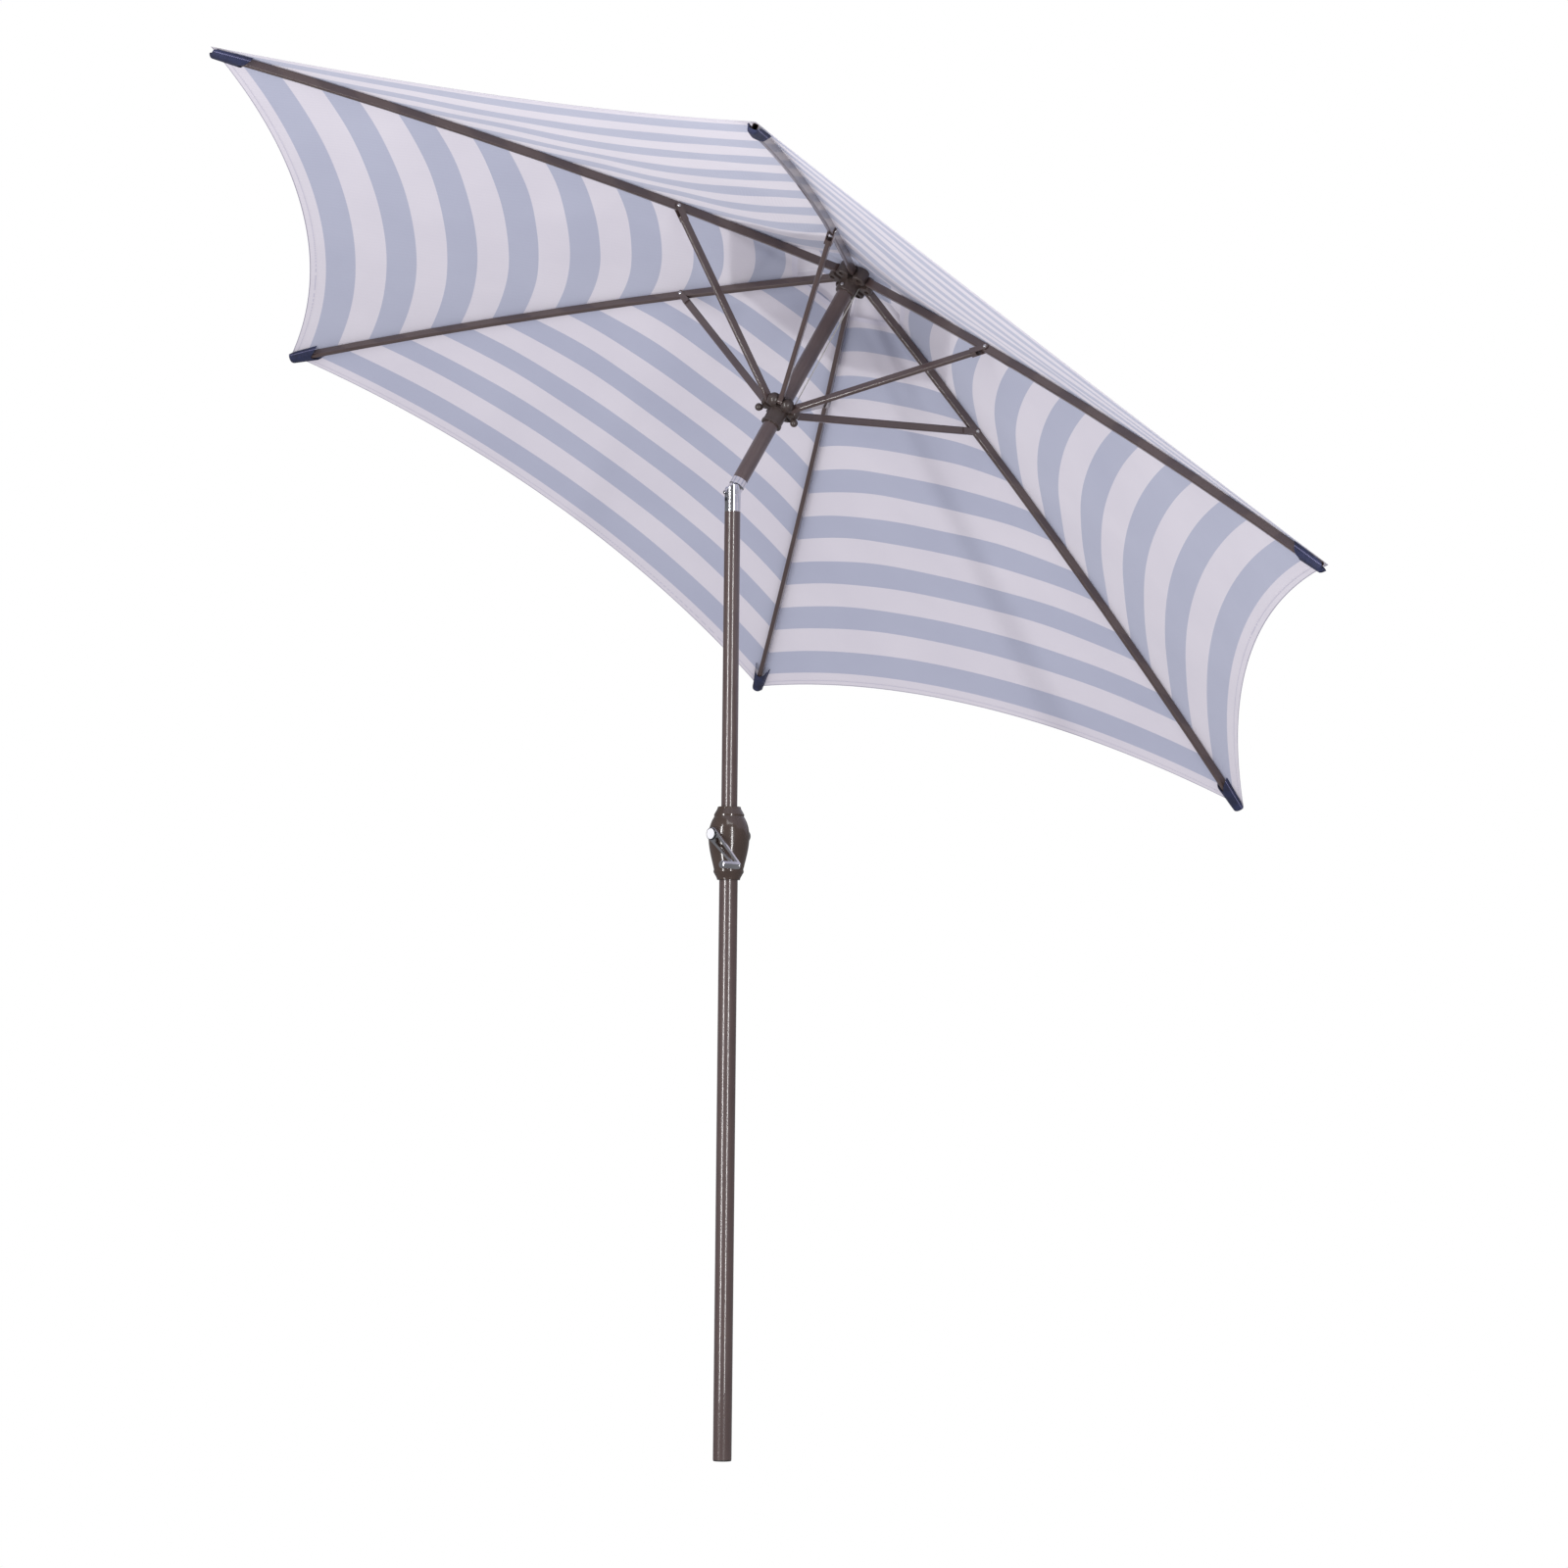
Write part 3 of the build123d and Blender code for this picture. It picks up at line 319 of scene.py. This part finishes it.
finish["canopy_cloth"] = canopy_cloth()
finish["pocket_cloth"] = pocket_cloth()

for part in record["subparts"]:
    for material_slot in nodes[part["node"]].material_slots:
        material_slot.material = finish[part["material_slot"]]

# round CAD pieces shade smoothly, with their edges kept crisp
CRISP_ANGLE = radians(32)
for node in nodes.values():
    for polygon in node.data.polygons:
        polygon.use_smooth = True
    crisp = node.modifiers.new("crisp", "EDGE_SPLIT")
    crisp.split_angle = CRISP_ANGLE


# ---------------------------------------------------------------- mesh helper
def grid_mesh(name, points, layers, slot):
    """Sheet from a grid of points, with float layers on its points, in the slot's finish."""
    rows = len(points)
    columns = len(points[0])
    vertices = [p for row in points for p in row]
    faces = [
        (i * columns + j, i * columns + j + 1, (i + 1) * columns + j + 1, (i + 1) * columns + j)
        for i in range(rows - 1)
        for j in range(columns - 1)
    ]
    mesh = bpy.data.meshes.new(name)
    mesh.from_pydata(vertices, [], faces)
    for layer, values in layers.items():
        data = mesh.attributes.new(layer, "FLOAT", "POINT").data
        flat = [value for row in values for value in row]
        data.foreach_set("value", flat)
    for polygon in mesh.polygons:
        polygon.use_smooth = True
    piece = bpy.data.objects.new(name, mesh)
    bpy.context.collection.objects.link(piece)
    piece.data.materials.append(finish[slot])
    return piece


# ---------------------------------------------------------------- canopy and vent
CLOTH_RADIAL = 90
CLOTH_ANGULAR = 40
VENT_HELD_R = 0.03
RIPPLE = 0.0018
RIPPLE_PITCH = 31.0
SAG_FULLNESS = 0.8
LEAST_SCALLOP = 0.004        # a hem that curves in less than this is drawn straight
HEM_SLANT = 0.9              # length along the slanted hem, per length round the pole
CANOPY_SAG = 0.010
VENT_CROWN = 0.006
# distances in metres that the cloth's material reads, but for the band, a share of the gore
CLOTH_LAYERS = ("band", "edge", "run", "inner", "seam", "span")


def hem_radius(turn, corner_r, scallop):
    """Distance from the pole to a hem that curves in between its corners, at an angle from the middle."""
    chord_u = corner_r * cos(HALF)
    if scallop < LEAST_SCALLOP:
        return chord_u / cos(turn)
    half_chord = corner_r * sin(HALF)
    bow = (half_chord**2 + scallop**2) / (2 * scallop)
    centre = chord_u - scallop + bow
    return centre * cos(turn) - sqrt(bow**2 - (centre * sin(turn)) ** 2)


CORNER_R = float(rib_section("canopy_panel_a")[:, 0].max())
SCALLOP = CORNER_R * cos(HALF) - gore_reach("canopy_panel_a")


def cloth_sector(name, node, azimuth, body, sag, clamped):
    """One rib's share of a cloth roof: from the middle of one gore, over the rib, to the next."""
    profile = rib_section(node, azimuth)
    curve = np.polyfit(profile[:, 0], profile[:, 1], 2)
    inner_r = profile[:, 0].min()
    corner_r = profile[:, 0].max()
    scallop = max(corner_r * cos(HALF) - gore_reach(node, azimuth), 0.0)
    points = []
    layers = {layer: [] for layer in CLOTH_LAYERS}
    for i in range(CLOTH_RADIAL + 1):
        along = i / CLOTH_RADIAL
        row = []
        row_values = []
        for j in range(-CLOTH_ANGULAR, CLOTH_ANGULAR + 1):
            share = abs(j) / CLOTH_ANGULAR
            turn = HALF * (1 - share)
            low = inner_r * cos(HALF) / cos(turn)
            high = hem_radius(turn, corner_r, scallop)
            radius = low + (high - low) * along
            rib_radius = radius * cos(turn) / cos(HALF)
            dip = sag * sin(pi * share / 2) ** 2 * sin(pi * along) ** SAG_FULLNESS
            ripple = RIPPLE * sin(RIPPLE_PITCH * radius + 2 * azimuth) * sin(pi * share) ** 2
            height = np.polyval(curve, rib_radius) - dip + ripple * sin(pi * along)
            angle = azimuth + HALF * j / CLOTH_ANGULAR
            row.append(place(angle, radius, height))
            row_values.append((
                1 - radius / hem_radius(turn, CORNER_R, SCALLOP),
                high - radius,
                angle * high * HEM_SLANT,
                radius - low,
                radius * sin(HALF * share),
                radius,
            ))
        points.append(row)
        for layer, values in zip(layers.values(), zip(*row_values)):
            layer.append(values)
    piece = grid_mesh(name, points, layers, "canopy_cloth")
    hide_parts(node)
    if clamped:
        # the vent is not attached to a body: its transform is baked in, and the height at the held radius
        # is worked out but not used
        height = np.polyval(curve, VENT_HELD_R)
        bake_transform(piece)
    else:
        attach(piece, body)
        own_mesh(piece)


for k, letter in enumerate(RIBS):
    azimuth = k * STEP
    cloth_sector("canopy_" + letter, "canopy_panel_" + letter, azimuth, "rib_" + letter, CANOPY_SAG, False)
    cloth_sector("vent_" + letter, "vent_panel_" + letter, azimuth, "rib_" + letter, -VENT_CROWN, True)

# ---------------------------------------------------------------- rib-end pockets
POCKET_STEPS = 24
POCKET_HALF = 0.0195
POCKET_NARROWS = 0.0065
POCKET_FLOOR = 0.0138
POCKET_LONG = 0.074
POCKET_NOTCH = 0.24
POCKET_OVERHANG = 0.006
POCKET_CLOSES = 0.14         # last share of its length, where it is sewn flat
WEBBING = 0.0014
RIB_WIDE = 0.011
# section: share of the half width, and share of the depth, up to the cloth and down round the rib
POCKET_SECTION = [
    (-1.0, 0.44), (-0.9, 0.20), (-0.74, -0.5), (-0.58, -0.86), (-0.3, -0.98),
    (0.0, -1.0), (0.3, -0.98), (0.58, -0.86), (0.74, -0.5), (0.9, 0.20), (1.0, 0.44),
]


def tip_pocket(letter, azimuth):
    """Navy webbing folded under the rib's end and sewn to the cloth on each side of it."""
    rib = rib_section("rib_" + letter, azimuth, RIB_WIDE)
    curve = np.polyfit(rib[:, 0], rib[:, 1], 2)
    tip_r = rib[:, 0].max() + POCKET_OVERHANG
    side = UP.cross(outward(azimuth))
    points, runs, edges = [], [], []
    for i in range(POCKET_STEPS + 1):
        along = i / POCKET_STEPS
        closing = 1 - 0.75 * max(0.0, (along - 1 + POCKET_CLOSES) / POCKET_CLOSES) ** 2
        wide = POCKET_HALF - POCKET_NARROWS * along
        row = []
        for across, drop in POCKET_SECTION:
            notch = 1 - POCKET_NOTCH * (1 - abs(across))
            radius = tip_r - POCKET_LONG * (1 - along) * notch
            height = float(np.polyval(curve, radius))
            deep = drop * POCKET_FLOOR * closing * (1 - 0.14 * along)
            row.append(place(azimuth, radius, height + deep) + side * across * wide)
        points.append(row)
        runs.append([along * POCKET_LONG] * len(POCKET_SECTION))
        edges.append([(1 - abs(across)) * POCKET_HALF for across, _ in POCKET_SECTION])
    piece = grid_mesh("pocket_" + letter, points, {"run": runs, "edge": edges}, "pocket_cloth")
    thick = piece.modifiers.new("webbing", "SOLIDIFY")
    thick.thickness = WEBBING
    soft = piece.modifiers.new("soft", "SUBSURF")
    soft.levels = 1
    soft.render_levels = 2
    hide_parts("tip_pocket_" + letter)
    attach(piece, "rib_" + letter)


RIVET_HEAD_R = 0.0040
RIVET_HEAD_HIGH = 0.0021
CLIP_FACE = 0.0079
RIVET_SIDES = 20
RIVET_RINGS = 5


def rivet_heads(letter, azimuth):
    """Bright domed heads on both ends of the rivet between a rib and its strut."""
    centre = Vector(joints[f"strut_{letter}_fold"]["pos_m"])
    side = UP.cross(outward(azimuth))
    for end, way in (("near", 1), ("far", -1)):
        points = []
        for i in range(RIVET_RINGS + 1):
            rise = pi / 2 * i / RIVET_RINGS
            lift = side * way * (CLIP_FACE + RIVET_HEAD_HIGH * sin(rise))
            ring = RIVET_HEAD_R * max(cos(rise), 0.02)
            turns = [way * 2 * pi * n / RIVET_SIDES for n in range(RIVET_SIDES + 1)]
            spokes = [outward(azimuth) * cos(t) + UP * sin(t) for t in turns]
            points.append([centre + lift + spoke * ring for spoke in spokes])
        head = grid_mesh(f"rivet_{letter}_{end}", points, {}, "steel")
        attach(head, "strut_" + letter)


for k, letter in enumerate(RIBS):
    tip_pocket(letter, k * STEP)
    rivet_heads(letter, k * STEP)

# ---------------------------------------------------------------- lift cord beside the pole
CORD_SIDES = 10
CORD_STEPS = 60
CORD_R = 0.0012


def lift_cord():
    """The run of lift cord from the hub down to the runner, built once as a straight tube where the CAD
    cord lies.
    """
    vertices = [v.co.copy() for v in nodes["lift_cord_outer"].data.vertices]
    heights = [(v - PIVOT).dot(UP) for v in vertices]
    top = max(heights)
    bottom = min(heights)
    ends = []
    for level in (top, bottom):
        near = [v for v, h in zip(vertices, heights) if abs(h - level) < 0.004]
        ends.append(sum(near, Vector()) / len(near))
    along = (ends[1] - ends[0]).normalized()
    u = along.orthogonal().normalized()
    v = along.cross(u)
    points = []
    for i in range(CORD_STEPS + 1):
        centre = ends[0].lerp(ends[1], i / CORD_STEPS)
        ring = [2 * pi * n / CORD_SIDES for n in range(CORD_SIDES + 1)]
        points.append([centre + (u * cos(t) + v * sin(t)) * CORD_R for t in ring])
    piece = grid_mesh("lift_cord_run", points, {}, "cord")
    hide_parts("lift_cord_outer")
    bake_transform(piece)


lift_cord()

# ---------------------------------------------------------------- camera
CAMERA_AT = Vector((-3.512, -7.257, 0.683))
CAMERA_YAW = radians(-26.62)
CAMERA_PITCH = radians(4.924)
CAMERA_ROLL = 0.00975        # radians
LENS = 90.38
SENSOR = 36.0

level_way = Vector((-sin(CAMERA_YAW), cos(CAMERA_YAW), 0))
forward = level_way * cos(CAMERA_PITCH) + Vector((0, 0, sin(CAMERA_PITCH)))
right = Vector((cos(CAMERA_YAW), sin(CAMERA_YAW), 0))
above = right.cross(forward)
rolled_right = right * cos(CAMERA_ROLL) + above * sin(CAMERA_ROLL)
rolled_up = above * cos(CAMERA_ROLL) - right * sin(CAMERA_ROLL)
camera_data = bpy.data.cameras.new("camera")
camera_data.lens = LENS
camera_data.sensor_width = SENSOR
camera_data.clip_end = 100.0
camera = bpy.data.objects.new("camera", camera_data)
bpy.context.collection.objects.link(camera)
turn = Matrix((rolled_right, rolled_up, -forward)).transposed().to_4x4()
camera.matrix_world = Matrix.Translation(CAMERA_AT) @ turn
bpy.context.scene.camera = camera

# ---------------------------------------------------------------- studio
scene = bpy.context.scene
scene.view_settings.view_transform = "Standard"
world = bpy.data.worlds.new("studio")
scene.world = world
world.use_nodes = True
tree = world.node_tree
background = tree.nodes["Background"]
rays = tree.nodes.new("ShaderNodeLightPath")
geometry = tree.nodes.new("ShaderNodeNewGeometry")
split = tree.nodes.new("ShaderNodeSeparateXYZ")
tree.links.new(geometry.outputs["Incoming"], split.inputs["Vector"])
sky = tree.nodes.new("ShaderNodeValToRGB")
sky.color_ramp.elements[0].position = 0.35
sky.color_ramp.elements[0].color = (1.0, 0.99, 1.03, 1)
sky.color_ramp.elements[1].position = 0.65
sky.color_ramp.elements[1].color = (0.86, 0.85, 0.9, 1)
level = tree.nodes.new("ShaderNodeMath")
level.operation = "MULTIPLY_ADD"
level.inputs[1].default_value = 0.5
level.inputs[2].default_value = 0.5
tree.links.new(split.outputs["Z"], level.inputs[0])
tree.links.new(level.outputs["Value"], sky.inputs["Fac"])
seen = tree.nodes.new("ShaderNodeMix")
seen.data_type = "RGBA"
tree.links.new(rays.outputs["Is Camera Ray"], seen.inputs["Factor"])
tree.links.new(sky.outputs["Color"], seen.inputs["A"])
seen.inputs["B"].default_value = (1, 1, 1, 1)
mirrored = tree.nodes.new("ShaderNodeMix")
mirrored.data_type = "RGBA"
tree.links.new(rays.outputs["Is Glossy Ray"], mirrored.inputs["Factor"])
tree.links.new(seen.outputs["Result"], mirrored.inputs["A"])
mirrored.inputs["B"].default_value = (0.20, 0.20, 0.21, 1)
tree.links.new(mirrored.outputs["Result"], background.inputs["Color"])
background.inputs["Strength"].default_value = 1.0


LIGHT_AIM = 1.6


def strip_light(name, azimuth, distance, height, width, tall, power):
    """Tall soft box that faces the mast, seen as a streak on the poles."""
    data = bpy.data.lights.new(name, "AREA")
    data.shape = "RECTANGLE"
    data.size = width
    data.size_y = tall
    data.energy = power
    lamp = bpy.data.objects.new(name, data)
    bpy.context.collection.objects.link(lamp)
    lamp.location = (distance * cos(azimuth), distance * sin(azimuth), height)
    aim = Vector((0, 0, LIGHT_AIM)) - lamp.location
    lamp.rotation_euler = aim.to_track_quat("-Z", "Y").to_euler()


strip_light("left_strip", radians(200), 3.2, 1.5, 0.24, 3.2, 80)
strip_light("front_strip", radians(262), 3.6, 1.5, 0.22, 3.2, 70)
strip_light("top_soft", radians(250), 2.5, 4.6, 2.5, 2.5, 60)
